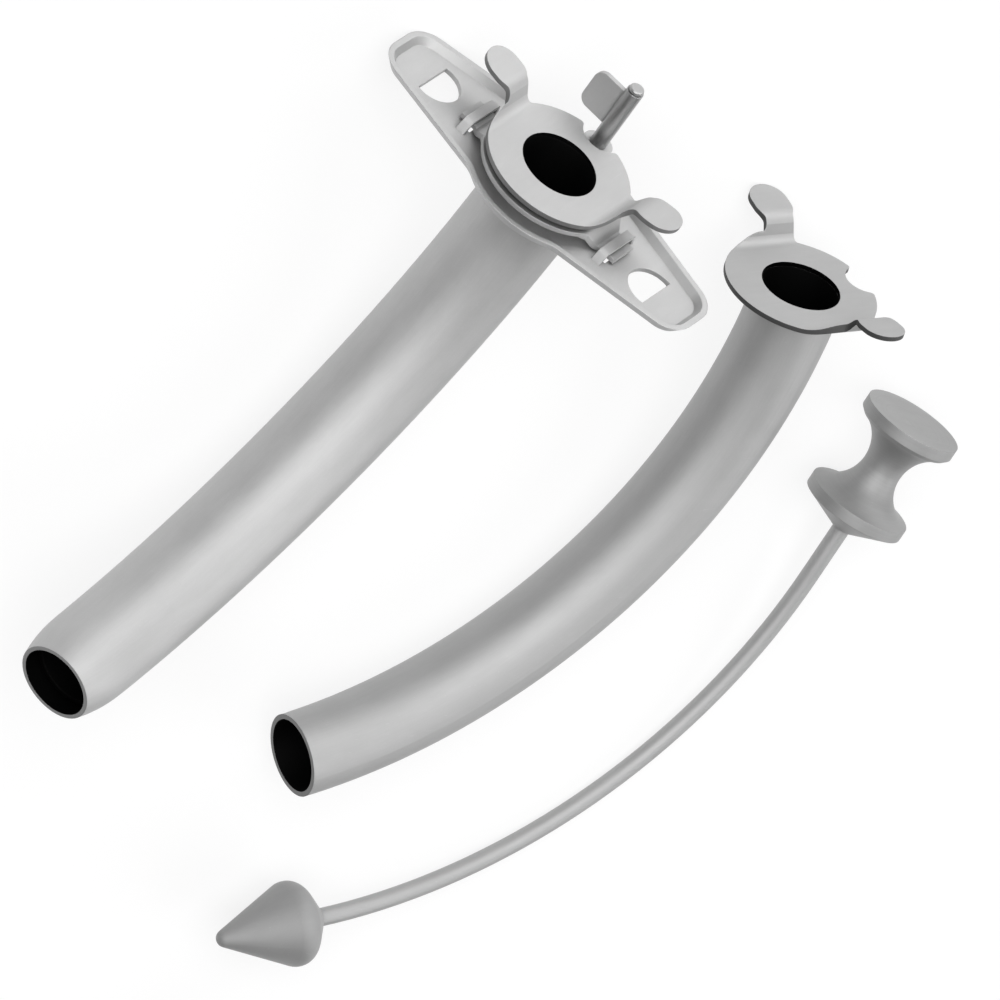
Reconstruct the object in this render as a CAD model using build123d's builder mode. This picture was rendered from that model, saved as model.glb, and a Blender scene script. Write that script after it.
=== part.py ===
from build123d import *
from math import cos, degrees, hypot, radians, sin
import os

os.makedirs("parts", exist_ok=True)

# Metal tracheostomy tube with its spare inner tube and its pilot, laid out on a table.
# Lengths are in millimetres and angles in degrees.
# Each item is drawn with its mouth at the origin: +X across the neck plate, +Y towards
# the lock, +Z out of the mouth. The tubes bend away from the mouth, towards -Y.

# Outer and inner tube
bend_radius = 64.0
outer_arc = 80.0
outer_mouth_radius = 6.15
outer_tip_radius = 5.75
outer_wall = 0.5
nose_length = 6.0
nose_drop = 0.92
tube_clearance = 0.3
inner_wall = 0.6
inner_setback = 3.0

# Winged collar of the inner tube
collar_radius = 9.2
collar_thickness = 0.6
wing_span = 30.2
wing_width = 5.0
wing_centre = 2.5
wing_corner = 2.45
wing_lobe_length = 5.8
wing_neck_width = 3.9
wing_neck_fillet = 0.5
wing_root = 8.7
wing_knee = 10.2
wing_knee_rise = 2.7
wing_tip_rise = 4.2
wing_bend = 1.7
notch_radius = 2.6
notch_lip = 0.5

# Flange of the outer tube
collar_seat = 0.05
mouth_lip = 0.65
flange_radius = 9.15
flange_thickness = 0.6
flange_top = 7.4
tongue_step = 7.9
tongue_landing = 9.6
tongue_root_half_width = 4.1
tongue_half_width = 2.0
tongue_reach = 12.3
sheet_bend = 0.6
lug_radius = 1.9

# Neck plate
plate_half_length = 22.7
plate_belly_radius = 9.5
plate_top = 8.0
plate_thickness = 0.6
plate_depth = 1.5
plate_flare = 35.0
plate_back = -4.3
arm_root = 6.0
arm_root_half_width = 7.2
arm_end_half_width = 3.5
arm_end_corner = 2.6
belly_blend = 4.0
shoulder_step = 0.1
shoulder_blend = 2.0
plate_edge_round = 0.5
same_place = 0.01
tube_hole_clearance = 0.55
strap_hole_flat = 18.0
strap_hole_reach = 3.8
strap_hole_half_width = 3.0
tongue_play = 0.25
bridge_thickness = 0.5
bridge_width = 1.2
bridge_inner_edge = 10.3
bridge_half_length = 3.6
bridge_leg = 0.7
lance_margin = 0.15
lance_half_width = 2.6
lug_relief = 2.6

# Turn lock
lock_centre = 9.5
lock_pin_radius = 0.6
lock_head_radius = 0.9
lock_head_thickness = 0.5
lock_top = 8.4
key_running_fit = 0.05
key_sleeve_radius = 1.05
key_end_play = 0.05
key_reach = 4.9
key_thickness = 0.6
key_foot = 1.5
key_head_step = 0.9
key_corner = 1.3

# Pilot
pilot_rod_radius = 1.08
pilot_bend_radius = 68.0
pilot_arc = 62.0
pilot_straight = 7.0
olive_clearance = 0.2
olive_length = 9.8
olive_back = 3.6
olive_nose_radius = 1.1
olive_shoulder = 2.2
olive_land = 0.3
knob_foot_radius = 6.4
knob_head_radius = 6.1
knob_rim = 1.4
knob_cone = 2.6
knob_waist_radius = 2.45
knob_height = 13.0
knob_head_chamfer = 0.5
knob_land = 0.3
knob_waist_height = 6.2
knob_dish = 0.5
rod_seat_depth = 3.0

# How the three items lie on the table
tube_pitch = -50.9
tube_roll = -36.6
tube_heading = -50.2
tube_place = (8.17, 42.47)
spare_pitch = -42.3
spare_roll = -65.7
spare_heading = -60.1
spare_place = (38.07, 21.67)
pilot_pitch = -58.6
pilot_roll = -69.5
pilot_heading = -62.9
pilot_place = (40.87, -17.73)


def across_bend(angle, radius=bend_radius):
    """Plane square to a bend, the angle along it from its start, facing down the tube."""
    turn = radians(angle)
    return Plane(
        origin=(0, radius * (cos(turn) - 1), -radius * sin(turn)),
        x_dir=(1, 0, 0),
        z_dir=(0, -sin(turn), -cos(turn)),
    )


def outer_radius(angle):
    """Radius of the outer tube, which narrows evenly from its mouth to its tip."""
    return outer_mouth_radius + (outer_tip_radius - outer_mouth_radius) * angle / outer_arc


# The outer tube bends evenly as far as its nose, which is straight. The inner tube's
# outside lies a clearance inside the outer tube's bore.
nose_start = outer_arc - degrees(nose_length / bend_radius)
nose_base_radius = outer_radius(nose_start)
nose_end_radius = nose_base_radius - nose_drop
inner_arc = outer_arc - degrees(inner_setback / bend_radius)
inner_offset = outer_wall + tube_clearance
inner_bore = outer_mouth_radius - inner_offset - inner_wall
nose_base = across_bend(nose_start)
nose_side = Plane(origin=nose_base.origin, x_dir=nose_base.x_dir, z_dir=-nose_base.y_dir)
nose_axis = Axis(nose_base.origin, nose_base.z_dir)

# Levels along Z, from the collar's face at 0 down to the plate's back.
collar_back = -collar_thickness
tube_front = collar_back - collar_seat
flange_front = tube_front - mouth_lip
flange_back = flange_front - flange_thickness
plate_floor = plate_back + plate_thickness
tongue_middle = plate_floor + tongue_play + flange_thickness / 2
bridge_middle = plate_floor + 2 * tongue_play + flange_thickness + bridge_thickness / 2


def bent_core(last_angle, inset):
    """Solid along the bend, its side the inset inside the outer tube's outside."""
    with BuildPart(mode=Mode.PRIVATE) as core:
        with BuildLine():
            ThreePointArc(*[across_bend(last_angle * share).origin for share in (0, 0.5, 1)])
        for angle in (0, last_angle):
            with BuildSketch(across_bend(angle)):
                Circle(outer_radius(angle) - inset)
        sweep(multisection=True)
    return core.part


def nose_core(inset):
    """Solid of the outer tube's rounded nose, its side the inset inside the outside."""
    with BuildPart(mode=Mode.PRIVATE) as core:
        with BuildSketch(nose_side):
            with BuildLine():
                base = (nose_base_radius - inset, 0)
                end = (nose_end_radius - inset, nose_length)
                TangentArc(base, end, tangent=(0, 1))
                Polyline(end, (0, nose_length), (0, 0), base)
            make_face()
        revolve(axis=nose_axis)
    return core.part


outer_bend = bent_core(nose_start, 0)
outer_bore = bent_core(nose_start, outer_wall)
nose = nose_core(0)
nose_bore = nose_core(outer_wall)
inner_bend = bent_core(inner_arc, inner_offset)
inner_tube_bore = bent_core(inner_arc, inner_offset + inner_wall)

with BuildPart() as outer_tube:
    add(outer_bend)
    add(nose)
    add(outer_bore, mode=Mode.SUBTRACT)
    add(nose_bore, mode=Mode.SUBTRACT)
    split(bisect_by=Plane.XY.offset(tube_front), keep=Keep.BOTTOM)

with BuildPart() as inner_tube:
    add(inner_bend)
    add(inner_tube_bore, mode=Mode.SUBTRACT)
    split(bisect_by=Plane.XY.offset(collar_back), keep=Keep.BOTTOM)

# The winged collar is one stamped sheet: its bent side view, cut to its plan.
with BuildPart() as inner_tube_collar:
    with BuildSketch(Plane.XZ):
        with BuildLine():
            middle = -collar_thickness / 2
            FilletPolyline(
                (-wing_span / 2 - wing_width, middle + wing_tip_rise),
                (-wing_knee, middle + wing_knee_rise),
                (-wing_root, middle),
                (wing_root, middle),
                (wing_knee, middle + wing_knee_rise),
                (wing_span / 2 + wing_width, middle + wing_tip_rise),
                radius=wing_bend,
            )
        trace(line_width=collar_thickness)
    extrude(amount=2 * collar_radius, both=True)
    with BuildSketch(Plane.XY.offset(-2 * collar_thickness)) as collar_plan:
        Circle(collar_radius)
        with Locations((0, wing_centre)):
            Rectangle(wing_span - 2 * wing_corner, wing_neck_width)
            with GridLocations(wing_span - wing_lobe_length, 0, 2, 1):
                RectangleRounded(wing_lobe_length, wing_width, wing_corner)
        offset(amount=wing_neck_fillet)
        offset(amount=-wing_neck_fillet)
        with Locations((0, lock_centre)):
            Circle(notch_radius, mode=Mode.SUBTRACT)
        notch_corners = [
            corner
            for corner in collar_plan.vertices()
            if abs(corner.X) < 2 * notch_radius and corner.Y > 0
        ]
        fillet(notch_corners, notch_lip)
        Circle(inner_bore, mode=Mode.SUBTRACT)
    extrude(amount=wing_tip_rise + 4 * collar_thickness, mode=Mode.INTERSECT)

# The flange is a second stamped sheet, stepped down to the tongues under the bridges.
with BuildPart() as outer_tube_flange:
    with BuildSketch(Plane.XZ):
        with BuildLine():
            middle = flange_front - flange_thickness / 2
            FilletPolyline(
                (-tongue_reach - flange_thickness, tongue_middle),
                (-tongue_landing, tongue_middle),
                (-tongue_step, middle),
                (tongue_step, middle),
                (tongue_landing, tongue_middle),
                (tongue_reach + flange_thickness, tongue_middle),
                radius=sheet_bend,
            )
        trace(line_width=flange_thickness)
    extrude(amount=2 * flange_radius, both=True)
    with BuildSketch(Plane.XY.offset(plate_back)) as flange_plan:
        Circle(flange_radius)
        with Locations((0, flange_top + flange_radius)):
            Rectangle(2 * flange_radius, 2 * flange_radius, mode=Mode.SUBTRACT)
        with BuildLine():
            Polyline(
                (tongue_step, tongue_root_half_width),
                (tongue_landing + flange_thickness, tongue_half_width),
                (tongue_reach, tongue_half_width),
                (tongue_reach, -tongue_half_width),
                (tongue_landing + flange_thickness, -tongue_half_width),
                (tongue_step, -tongue_root_half_width),
                (-tongue_step, -tongue_root_half_width),
                (-tongue_landing - flange_thickness, -tongue_half_width),
                (-tongue_reach, -tongue_half_width),
                (-tongue_reach, tongue_half_width),
                (-tongue_landing - flange_thickness, tongue_half_width),
                (-tongue_step, tongue_root_half_width),
                close=True,
            )
        make_face()
        with BuildLine():
            Polyline(
                (-lug_radius, 0),
                (-lug_radius, lock_centre),
                (lug_radius, lock_centre),
                (lug_radius, 0),
                close=True,
            )
        make_face()
        with Locations((0, lock_centre)):
            Circle(lug_radius)
            Circle(lock_pin_radius, mode=Mode.SUBTRACT)
    extrude(amount=-plate_back, mode=Mode.INTERSECT)
    add(outer_bend, mode=Mode.SUBTRACT)

# The neck plate is a shallow stamped tray that opens forwards. Its top edge runs straight
# between shoulders that lie just outside the belly's circle.
shoulder = (plate_belly_radius**2 - plate_top**2) ** 0.5 + shoulder_step
plate_inset = plate_thickness * (1 - sin(radians(plate_flare))) / cos(radians(plate_flare))
with BuildPart() as neck_plate:
    with BuildSketch(Plane.XY.offset(plate_back)) as plate_plan:
        Circle(plate_belly_radius)
        with Locations((0, plate_top + plate_belly_radius)):
            Rectangle(2 * plate_belly_radius, 2 * plate_belly_radius, mode=Mode.SUBTRACT)
        with BuildLine():
            Polyline(
                (shoulder, plate_top),
                (plate_half_length, arm_end_half_width),
                (plate_half_length, -arm_end_half_width),
                (arm_root, -arm_root_half_width),
                (-arm_root, -arm_root_half_width),
                (-plate_half_length, -arm_end_half_width),
                (-plate_half_length, arm_end_half_width),
                (-shoulder, plate_top),
                close=True,
            )
        make_face()
        fillet(plate_plan.vertices().group_by(Axis.X)[0], arm_end_corner)
        fillet(plate_plan.vertices().group_by(Axis.X)[-1], arm_end_corner)
        fillet(plate_plan.vertices().group_by(Axis.Y)[-1], shoulder_blend)
        belly_corners = [
            corner
            for corner in plate_plan.vertices()
            if corner.Y < 0 and abs(hypot(corner.X, corner.Y) - plate_belly_radius) < same_place
        ]
        fillet(belly_corners, belly_blend)
    extrude(amount=plate_depth, taper=-plate_flare)
    fillet(neck_plate.faces().sort_by(Axis.Z)[0].edges(), plate_edge_round)
    with BuildSketch(Plane.XY.offset(plate_floor)):
        offset(plate_plan.sketch_local, amount=-plate_inset)
    extrude(amount=plate_depth, taper=-plate_flare, mode=Mode.SUBTRACT)
    with BuildSketch(Plane.XY.offset(plate_back)):
        Circle(outer_mouth_radius + tube_hole_clearance)
        for side in (-1, 1):
            with BuildLine():
                flat = side * strap_hole_flat
                Line((flat, -strap_hole_half_width), (flat, strap_hole_half_width))
                ThreePointArc(
                    (flat, strap_hole_half_width),
                    (flat - side * strap_hole_reach, 0),
                    (flat, -strap_hole_half_width),
                )
            make_face()
        lance_length = bridge_width + 2 * lance_margin
        with Locations(
            (bridge_inner_edge + bridge_width / 2, 0), (-bridge_inner_edge - bridge_width / 2, 0)
        ):
            Rectangle(lance_length, 2 * lance_half_width)
    extrude(amount=plate_thickness, mode=Mode.SUBTRACT)
    for inner_edge in (bridge_inner_edge, -bridge_inner_edge - bridge_width):
        with BuildSketch(Plane.YZ.offset(inner_edge)):
            with BuildLine():
                FilletPolyline(
                    (-bridge_half_length, plate_back + plate_thickness / 2),
                    (bridge_leg - bridge_half_length, bridge_middle),
                    (bridge_half_length - bridge_leg, bridge_middle),
                    (bridge_half_length, plate_back + plate_thickness / 2),
                    radius=bridge_thickness,
                )
            trace(line_width=bridge_thickness)
        extrude(amount=bridge_width)
    with BuildSketch(Plane.XY.offset(plate_floor)):
        with Locations((0, plate_top)):
            Rectangle(2 * lug_relief, plate_top / 2)
    extrude(amount=plate_depth, mode=Mode.SUBTRACT)

# The lock: a headed pin riveted in the flange's lug, and a sleeve with a flag turning on it.
with BuildPart() as lock_pin:
    with BuildSketch(Plane.XY.offset(flange_back)):
        with Locations((0, lock_centre)):
            Circle(lock_pin_radius)
    extrude(amount=lock_top - flange_back)
    with BuildSketch(Plane.XY.offset(lock_top - lock_head_thickness)):
        with Locations((0, lock_centre)):
            Circle(lock_head_radius)
    extrude(amount=lock_head_thickness)
    fillet(lock_pin.edges().sort_by(Axis.Z)[-1], lock_head_thickness / 3)

with BuildPart() as lock_key:
    sleeve_foot = flange_front + key_end_play
    sleeve_top = lock_top - lock_head_thickness - key_end_play
    with BuildSketch(Plane.XY.offset(sleeve_foot)):
        with Locations((0, lock_centre)):
            Circle(key_sleeve_radius)
    extrude(amount=sleeve_top - sleeve_foot)
    with BuildSketch(Plane.XZ.offset(-lock_centre)) as flag_outline:
        with Locations((-key_reach, key_foot)):
            flag_height = sleeve_top - key_head_step - key_foot
            Rectangle(key_reach, flag_height, align=(Align.MIN, Align.MIN))
        fillet(flag_outline.vertices().group_by(Axis.X)[0], key_corner)
    extrude(amount=key_thickness / 2, both=True)
    with BuildSketch(Plane.XY.offset(sleeve_foot)):
        with Locations((0, lock_centre)):
            Circle(lock_pin_radius + key_running_fit)
    extrude(amount=sleeve_top - sleeve_foot, mode=Mode.SUBTRACT)

# The spare inner tube is the same two pieces again.
with BuildPart() as spare_inner_tube:
    add(inner_tube.part)

with BuildPart() as spare_inner_tube_collar:
    add(inner_tube_collar.part)

# The pilot: a bent rod between a spool-shaped knob and an olive that plugs the tube's tip.
with BuildPart() as pilot_rod:
    with BuildLine() as rod_path:
        Line((0, 0, pilot_straight + rod_seat_depth), (0, 0, 0))
        rod_bend = [across_bend(pilot_arc * share, pilot_bend_radius).origin for share in (0, 0.5, 1)]
        ThreePointArc(*rod_bend)
    with BuildSketch(Plane.XY.offset(pilot_straight + rod_seat_depth)):
        Circle(pilot_rod_radius)
    sweep()

with BuildPart() as pilot_tip:
    olive_radius = outer_radius(nose_start) - outer_wall - olive_clearance
    with BuildSketch(Plane.XZ):
        with Locations((0, olive_back + olive_length - olive_nose_radius)):
            Circle(olive_nose_radius)
        with Locations(
            (olive_radius - olive_shoulder, olive_back), (olive_shoulder - olive_radius, olive_back)
        ):
            Circle(olive_shoulder)
        with Locations((0, olive_land / 2)):
            Rectangle(2 * (pilot_rod_radius + olive_land), olive_land)
        make_hull()
        split(bisect_by=Plane.YZ, keep=Keep.TOP)
    revolve(axis=Axis.Z)

with BuildPart() as pilot_knob:
    knob_top = knob_cone + knob_height
    knob_waist = (knob_waist_radius, knob_cone + knob_waist_height)
    with BuildSketch(Plane.XZ):
        with BuildLine():
            foot_rim = (knob_foot_radius, knob_cone + knob_rim)
            head_rim = (knob_head_radius - knob_head_chamfer, knob_top - knob_rim - knob_head_chamfer)
            Polyline(
                (0, 0),
                (pilot_rod_radius + knob_land, 0),
                (knob_foot_radius, knob_cone),
                foot_rim,
            )
            TangentArc(knob_waist, foot_rim, tangent=(0, -1))
            TangentArc(knob_waist, head_rim, tangent=(0, 1))
            Polyline(head_rim, (knob_head_radius, knob_top - knob_rim), (knob_head_radius, knob_top))
            dish_radius = (knob_head_radius**2 + knob_dish**2) / (2 * knob_dish)
            RadiusArc((knob_head_radius, knob_top), (0, knob_top - knob_dish), dish_radius)
            Line((0, knob_top - knob_dish), (0, 0))
        make_face()
    revolve(axis=Axis.Z)
    with BuildSketch(Plane.XY):
        Circle(pilot_rod_radius)
    extrude(amount=rod_seat_depth, mode=Mode.SUBTRACT)

pilot_tip.part.locate(across_bend(pilot_arc, pilot_bend_radius).location)
pilot_knob.part.locate(Location((0, 0, pilot_straight)))


def lay_down(pieces, pitch, roll, heading, place):
    """Turn an item onto its resting side, lower it to the table and write its pieces."""
    turned = Location((0, 0, 0), (0, 0, heading)) * Location((0, 0, 0), (0, roll, 0))
    turned *= Location((0, 0, 0), (pitch, 0, 0))
    foot = min(piece.part.moved(turned).bounding_box().min.Z for piece in pieces.values())
    rest = Location((*place, -foot)) * turned
    for name, piece in pieces.items():
        piece.part.locate(rest * piece.part.location)
        piece.part.label = name
        export_step(piece.part, f"parts/{name}.step")
    return rest


assembled_tube = {
    "outer_tube": outer_tube,
    "outer_tube_flange": outer_tube_flange,
    "neck_plate": neck_plate,
    "lock_pin": lock_pin,
    "lock_key": lock_key,
    "inner_tube": inner_tube,
    "inner_tube_collar": inner_tube_collar,
}
spare = {
    "spare_inner_tube": spare_inner_tube,
    "spare_inner_tube_collar": spare_inner_tube_collar,
}
pilot = {"pilot_rod": pilot_rod, "pilot_tip": pilot_tip, "pilot_knob": pilot_knob}
tube_rest = lay_down(assembled_tube, tube_pitch, tube_roll, tube_heading, tube_place)
spare_rest = lay_down(spare, spare_pitch, spare_roll, spare_heading, spare_place)
pilot_rest = lay_down(pilot, pilot_pitch, pilot_roll, pilot_heading, pilot_place)
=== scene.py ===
import math

import bpy
from mathutils import Matrix, Vector

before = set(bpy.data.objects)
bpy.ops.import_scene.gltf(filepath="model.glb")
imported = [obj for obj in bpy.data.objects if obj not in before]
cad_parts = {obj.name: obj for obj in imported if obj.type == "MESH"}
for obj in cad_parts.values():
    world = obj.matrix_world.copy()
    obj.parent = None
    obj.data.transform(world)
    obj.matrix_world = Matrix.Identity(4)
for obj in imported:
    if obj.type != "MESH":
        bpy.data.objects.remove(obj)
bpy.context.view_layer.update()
scene = bpy.context.scene

# Lengths are in metres and turns in degrees. Each item has its own axes: +X across the neck
# plate, +Y towards the lock, +Z out of the mouth. Here is its mouth's place, and its turns.
ITEM_PLACE = {
    "tube": ((0.00817, 0.04247, 0.017475), (-50.9, -36.6, -50.2)),
    "spare": ((0.03807, 0.02167, 0.013725), (-42.3, -65.7, -60.1)),
    "pilot": ((0.04087, -0.01773, 0.004568), (-58.6, -69.5, -62.9)),
}
TUBE_BEND = 0.064
PILOT_BEND = 0.068
LOCK_CENTRE = 0.0095

# Distances from the mouth's axis and from the lock's axis between which a mask fades out: the
# hole wall's painted shade, and the sleeve
HOLE_WALL_FADE = (0.0060, 0.0064)
SLEEVE_FADE = (0.00107, 0.00135)

# Sizes of the surface's detail: noise scales are per metre, and lines per radian of a tube
GRAIN_SCALE = 8000.0
GRAIN_DEPTH = 0.00003
CLOUD_SCALE = 130.0
SMEAR_SCALE = (900, 160, 300)
SMEAR_TURN = (0.3, 0.2, 0.5)
SCRATCH_SCALE = (7000, 260, 5200)
SCRATCH_TURN = (0.1, 0.25, 0.4)
LATHE_SCALE = 5000.0
LINES_AROUND = {"tube": 26.0, "rod": 5.0}
LINES_ALONG = 9.0
SEAM_REACH = 0.0012
RUBBED_EDGE = 0.00015

# Share of its tone that each of these places keeps, as painted shade inside a tube and on a
# hole's wall, and of its roughness
INSIDE_PAINTED_SHADE = 0.02
HOLE_WALL_PAINTED_SHADE = 0.03
SLEEVE_TONE = 0.78
SLEEVE_ROUGHNESS = 0.64


class Graph:
    """Adds nodes to a tree with short calls."""

    def __init__(self, tree):
        self.tree = tree

    def node(self, kind, **settings):
        made = self.tree.nodes.new(kind)
        for key, value in settings.items():
            setattr(made, key, value)
        return made

    def feed(self, socket, value):
        if isinstance(value, bpy.types.NodeSocket):
            self.tree.links.new(value, socket)
        else:
            socket.default_value = value

    def math(self, operation, a, b=0.0, clamp=False):
        made = self.node("ShaderNodeMath", operation=operation, use_clamp=clamp)
        self.feed(made.inputs[0], a)
        self.feed(made.inputs[1], b)
        return made.outputs[0]

    def times(self, a, b):
        return self.math("MULTIPLY", a, b)

    def length(self, a, b):
        return self.math("SQRT", self.math("ADD", self.times(a, a), self.times(b, b)))

    def noise(self, vector, scale, detail=2.0, roughness=0.5):
        made = self.node("ShaderNodeTexNoise")
        self.feed(made.inputs["Vector"], vector)
        self.feed(made.inputs["Scale"], scale)
        self.feed(made.inputs["Detail"], detail)
        self.feed(made.inputs["Roughness"], roughness)
        return made.outputs[0]

    def span(self, value, low, high, to_low, to_high):
        """The value's place between low and high, moved to between to_low and to_high."""
        made = self.node("ShaderNodeMapRange", clamp=True)
        self.feed(made.inputs[0], value)
        for socket, number in zip(made.inputs[1:5], (low, high, to_low, to_high)):
            self.feed(socket, number)
        return made.outputs[0]

    def masked(self, mask, factor):
        """1 where the mask is 0, and the factor where it is 1."""
        return self.span(mask, 0.0, 1.0, 1.0, factor)

    def stretched(self, vector, scale, turn):
        made = self.node("ShaderNodeMapping")
        self.feed(made.inputs["Vector"], vector)
        self.feed(made.inputs["Rotation"], turn)
        self.feed(made.inputs["Scale"], scale)
        return made.outputs[0]


def in_item_axes(graph, item, socket, place=(0, 0, 0)):
    """A vector of the frame in an item's own axes, whole and as its three parts."""
    made = graph.node("ShaderNodeMapping", vector_type="TEXTURE")
    graph.feed(made.inputs["Vector"], socket)
    graph.feed(made.inputs["Location"], place)
    graph.feed(made.inputs["Rotation"], [math.radians(angle) for angle in ITEM_PLACE[item][1]])
    parts = graph.node("ShaderNodeSeparateXYZ")
    graph.feed(parts.inputs[0], made.outputs[0])
    return made.outputs[0], parts.outputs


def tube_directions(graph, place, facing, bend):
    """Angle along a bend, angle around it, and how far the surface faces away from its axis."""
    across, lockwards, outwards = place
    from_centre = graph.math("ADD", lockwards, bend)
    reach = graph.length(from_centre, outwards)
    off_arc = graph.math("SUBTRACT", reach, bend)
    radius = graph.length(off_arc, across)
    along = graph.math("ARCTAN2", graph.times(outwards, -1.0), from_centre)
    around = graph.math("ARCTAN2", off_arc, across)
    lockwards_share = graph.times(facing[1], graph.math("DIVIDE", from_centre, reach))
    outwards_share = graph.times(facing[2], graph.math("DIVIDE", outwards, reach))
    in_bend = graph.math("ADD", lockwards_share, outwards_share)
    away = graph.math("ADD", graph.times(facing[0], across), graph.times(in_bend, off_arc))
    return along, around, graph.math("DIVIDE", away, radius)


def steel(name, item, form="sheet", tone=0.56, rough=0.66, grain=0.22, bend=TUBE_BEND,
          seam_shade=0.3, edge_shade=1.0, end_shade=1.0, hole_shade=False, sleeve=False):
    """Bead-blasted metal. The form is sheet, tube, rod or turned (on a lathe).

    The seam, edge and end shades are the share of the tone kept as painted shade in seams, on a
    sheet's sides and on cut tube ends.
    A hole's painted shade makes dark walls in a mouth's hole, and a sleeve is smoother than the
    flag on it.
    """
    material = bpy.data.materials.new(name)
    material.use_nodes = True
    graph = Graph(material.node_tree)
    shader = material.node_tree.nodes["Principled BSDF"]
    shader.inputs["Metallic"].default_value = 1.0
    seen = graph.node("ShaderNodeTexCoord").outputs
    own, place = in_item_axes(graph, item, seen["Object"], ITEM_PLACE[item][0])
    facing = in_item_axes(graph, item, seen["Normal"])[1]

    # Blasted grain, about a tenth of a millimetre, and slow changes of tone from handling
    fine = graph.noise(own, GRAIN_SCALE, 3.0, 0.6)
    clouds = graph.noise(own, CLOUD_SCALE, 3.0, 0.55)
    smears = graph.noise(graph.stretched(own, SMEAR_SCALE, SMEAR_TURN), 1.0, 4.0, 0.65)
    scratches = graph.noise(graph.stretched(own, SCRATCH_SCALE, SCRATCH_TURN), 1.0, 1.0)
    scratch = graph.span(scratches, 0.72, 0.78, 0.0, 1.0)
    level = graph.span(clouds, 0.3, 0.7, tone * 0.96, tone * 1.03)
    level = graph.times(level, graph.span(fine, 0.25, 0.75, 0.95, 1.045))
    if form != "rod":
        level = graph.times(level, graph.span(smears, 0.35, 0.7, 0.98, 1.015))
    height = fine

    # Marks of how the piece was made: drawn lines along a tube, turning rings on a knob
    if form in LINES_AROUND:
        along, around, away = tube_directions(graph, place, facing, bend)
        drawn = graph.node("ShaderNodeCombineXYZ")
        graph.feed(drawn.inputs[0], graph.times(around, LINES_AROUND[form]))
        graph.feed(drawn.inputs[1], graph.times(along, LINES_ALONG))
        lines = graph.noise(drawn.outputs[0], 1.0, 4.0, 0.7)
        level = graph.times(level, graph.span(lines, 0.3, 0.7, 0.98, 1.015))
    if form == "turned":
        rings = graph.node("ShaderNodeCombineXYZ")
        graph.feed(rings.inputs[0], graph.times(graph.length(place[0], place[1]), LATHE_SCALE))
        graph.feed(rings.inputs[1], graph.times(place[2], LATHE_SCALE))
        turning = graph.noise(rings.outputs[0], 1.0, 2.0)
        level = graph.times(level, graph.span(turning, 0.3, 0.7, 0.975, 1.02))
        height = graph.math("ADD", height, turning)

    # Darker places: painted shade inside a tube, on its cut end, on a sheet's edge and on the
    # collar's hole walls; the sleeve has a darker tone
    sideways = graph.length(facing[0], facing[1])
    # Painted shade: a tube's inside is made nearly black, and its cut end darker, for the shade
    # in the bore
    if form == "tube":
        level = graph.times(level, graph.span(away, -0.5, -0.3, INSIDE_PAINTED_SHADE, 1.0))
        painted_end_shade = graph.span(graph.math("ABSOLUTE", away), 0.3, 0.5, end_shade, 1.0)
        level = graph.times(level, painted_end_shade)
    # Painted shade on a sheet's sides, which face away from the light
    if edge_shade < 1.0:
        level = graph.times(level, graph.span(sideways, 0.85, 0.97, 1.0, edge_shade))
    # Painted shade on the walls of a collar's hole, near black
    if hole_shade:
        wall = graph.span(sideways, 0.7, 0.95, 0.0, 1.0)
        from_mouth = graph.length(place[0], place[1])
        near = graph.span(from_mouth, *HOLE_WALL_FADE, 1.0, 0.0)
        level = graph.times(level, graph.masked(graph.times(wall, near), HOLE_WALL_PAINTED_SHADE))
    if sleeve:
        from_pin = graph.length(place[0], graph.math("SUBTRACT", place[1], LOCK_CENTRE))
        on_sleeve = graph.span(from_pin, *SLEEVE_FADE, 1.0, 0.0)
        level = graph.times(level, graph.masked(on_sleeve, SLEEVE_TONE))

    # Painted shade in the seams, where AO finds parts close together, and bright rubbed edges
    shade = graph.node("ShaderNodeAmbientOcclusion", samples=6)
    graph.feed(shade.inputs["Distance"], SEAM_REACH)
    level = graph.times(level, graph.span(shade.outputs["AO"], 0.2, 0.8, seam_shade, 1.0))
    rounded = graph.node("ShaderNodeBevel", samples=4)
    graph.feed(rounded.inputs["Radius"], RUBBED_EDGE)
    agree = graph.node("ShaderNodeVectorMath", operation="DOT_PRODUCT")
    graph.feed(agree.inputs[0], rounded.outputs[0])
    graph.feed(agree.inputs[1], graph.node("ShaderNodeNewGeometry").outputs["Normal"])
    rubbed = graph.span(agree.outputs["Value"], 0.80, 0.98, 1.0, 0.0)
    rubbed = graph.times(rubbed, graph.span(clouds, 0.35, 0.6, 0.3, 1.0))
    level = graph.times(level, graph.masked(rubbed, 1.06))

    colour = graph.node("ShaderNodeCombineColor")
    for channel in colour.inputs:
        graph.feed(channel, level)
    graph.feed(shader.inputs["Base Color"], colour.outputs[0])

    roughness = graph.span(fine, 0.2, 0.8, rough - 0.05, rough + 0.06)
    roughness = graph.math("ADD", roughness, graph.span(clouds, 0.3, 0.7, -0.03, 0.03))
    if sleeve:
        roughness = graph.times(roughness, graph.masked(on_sleeve, SLEEVE_ROUGHNESS))
    roughness = graph.math("SUBTRACT", roughness, graph.times(scratch, 0.1))
    roughness = graph.math("SUBTRACT", roughness, graph.times(rubbed, 0.1), clamp=True)
    graph.feed(shader.inputs["Roughness"], roughness)

    bump = graph.node("ShaderNodeBump")
    graph.feed(bump.inputs["Strength"], grain)
    graph.feed(bump.inputs["Distance"], GRAIN_DEPTH)
    graph.feed(bump.inputs["Height"], graph.math("SUBTRACT", height, graph.times(scratch, 0.6)))
    graph.feed(bump.inputs["Normal"], rounded.outputs[0])
    graph.feed(shader.inputs["Normal"], bump.outputs[0])
    return material
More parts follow.
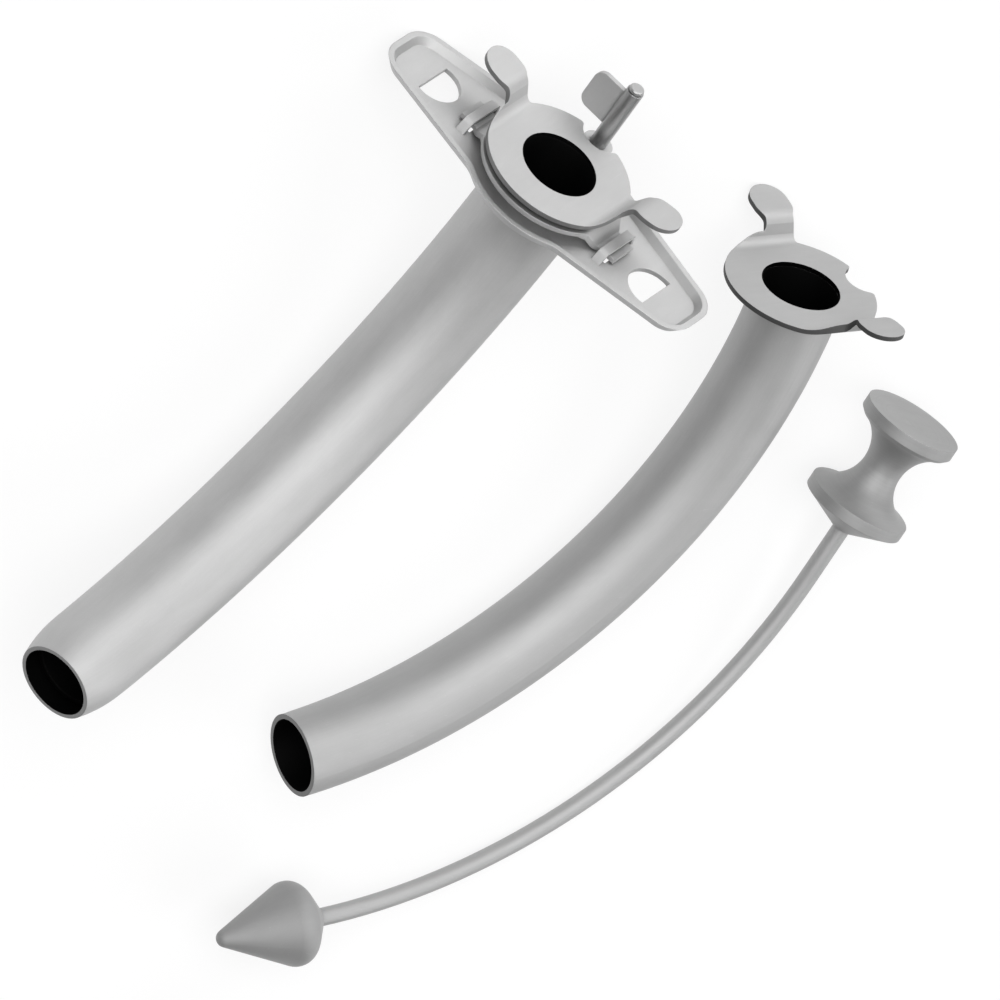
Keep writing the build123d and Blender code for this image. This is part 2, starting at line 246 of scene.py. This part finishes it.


# What each CAD node's metal is like, and its painted shade, where it differs from plain sheet
FINISHES = {
    "outer_tube": dict(item="tube", form="tube", end_shade=0.6),
    "outer_tube_flange": dict(item="tube", seam_shade=0.5),
    "neck_plate": dict(item="tube", tone=0.58, seam_shade=0.6),
    "lock_pin": dict(item="tube", tone=0.46, rough=0.4, grain=0.06),
    "lock_key": dict(item="tube", grain=0.04, sleeve=True),
    "inner_tube": dict(item="tube", form="tube", end_shade=0.02),
    "inner_tube_collar": dict(item="tube", edge_shade=0.5, hole_shade=True),
    # Painted shade: the spare's and the pilot's pieces are the same steel in lower tones, for
    # the less light on them
    "spare_inner_tube": dict(item="spare", form="tube", tone=0.49, end_shade=0.5),
    "spare_inner_tube_collar": dict(item="spare", tone=0.52, edge_shade=0.22, hole_shade=True),
    "pilot_rod": dict(item="pilot", form="rod", tone=0.47, bend=PILOT_BEND),
    "pilot_tip": dict(item="pilot", tone=0.43, rough=0.76),
    "pilot_knob": dict(item="pilot", form="turned", tone=0.41),
}
for node, finish in FINISHES.items():
    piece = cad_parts[node]
    piece.data.materials.clear()
    piece.data.materials.append(steel(node + "_steel", **finish))

# Pale floor, which the camera and the metal see as nearly white, with the objects' shadow
FLOOR_SIZE = 6
FLOOR_GREY = 0.86
FLOOR_GLOW = 0.8
bpy.ops.mesh.primitive_plane_add(size=FLOOR_SIZE)
floor = bpy.context.object
floor.name = "floor"
paper = bpy.data.materials.new("paper")
paper.use_nodes = True
tree = paper.node_tree
graph = Graph(tree)
base = tree.nodes["Principled BSDF"]
base.inputs["Base Color"].default_value = (FLOOR_GREY, FLOOR_GREY, FLOOR_GREY, 1)
base.inputs["Roughness"].default_value = 0.9
base.inputs["Specular IOR Level"].default_value = 0.1
glow = graph.node("ShaderNodeEmission")
path = graph.node("ShaderNodeLightPath")
shown = graph.math("MAXIMUM", path.outputs["Is Camera Ray"], path.outputs["Is Glossy Ray"])
blend = graph.node("ShaderNodeMixShader")
graph.feed(blend.inputs[0], graph.times(shown, FLOOR_GLOW))
graph.feed(blend.inputs[1], base.outputs[0])
graph.feed(blend.inputs[2], glow.outputs[0])
graph.feed(tree.nodes["Material Output"].inputs["Surface"], blend.outputs[0])
floor.data.materials.append(paper)

# Camera: the picture's right, up and towards-the-viewer directions in the frame
RIGHT = Vector((0.94383, -0.04492, 0.32739))
UP = Vector((0.15562, 0.93440, -0.32043))
TOWARDS = Vector((-0.29152, 0.35337, 0.88891))
AIM = Vector((0.00484, -0.00389, 0.0))
SHOWN_WIDTH = 0.116
DISTANCE = 1.8
SENSOR = 36.0
camera = bpy.data.objects.new("camera", bpy.data.cameras.new("camera"))
scene.collection.objects.link(camera)
camera.data.sensor_width = SENSOR
camera.data.lens = SENSOR * DISTANCE / SHOWN_WIDTH
camera.data.clip_start = 0.01
camera.data.clip_end = 20.0
spin = Matrix((RIGHT, UP, TOWARDS)).transposed().to_4x4()
camera.matrix_world = Matrix.Translation(AIM + TOWARDS * DISTANCE) @ spin
scene.camera = camera


def softbox(name, place, aim, width, height, watts):
    data = bpy.data.lights.new(name, "AREA")
    data.shape = "RECTANGLE"
    data.size = width
    data.size_y = height
    data.energy = watts
    lamp = bpy.data.objects.new(name, data)
    lamp.location = place
    lamp.rotation_euler = (Vector(aim) - Vector(place)).to_track_quat("-Z", "Y").to_euler()
    scene.collection.objects.link(lamp)


softbox("overhead", (-0.25, 0.3, 1.3), (0, 0, 0), 1.7, 1.7, 25.0)
softbox("side", (0.9, -0.7, 0.7), (0, 0, 0.01), 0.9, 0.9, 8.0)
softbox("far", (1.0, 0.9, 0.45), (0, 0, 0.01), 1.1, 0.7, 10.0)

# Studio sky, dark at the horizon and light overhead
world = bpy.data.worlds.new("studio")
scene.world = world
world.use_nodes = True
graph = Graph(world.node_tree)
ray = graph.node("ShaderNodeSeparateXYZ")
graph.feed(ray.inputs[0], graph.node("ShaderNodeTexCoord").outputs["Generated"])
low_sky = graph.span(ray.outputs[2], 0.0, 0.35, 0.10, 0.56)
high_sky = graph.span(ray.outputs[2], 0.35, 0.9, 0.0, 0.2)
background = world.node_tree.nodes["Background"]
graph.feed(background.inputs["Strength"], graph.math("ADD", low_sky, high_sky))

scene.view_settings.view_transform = "Standard"
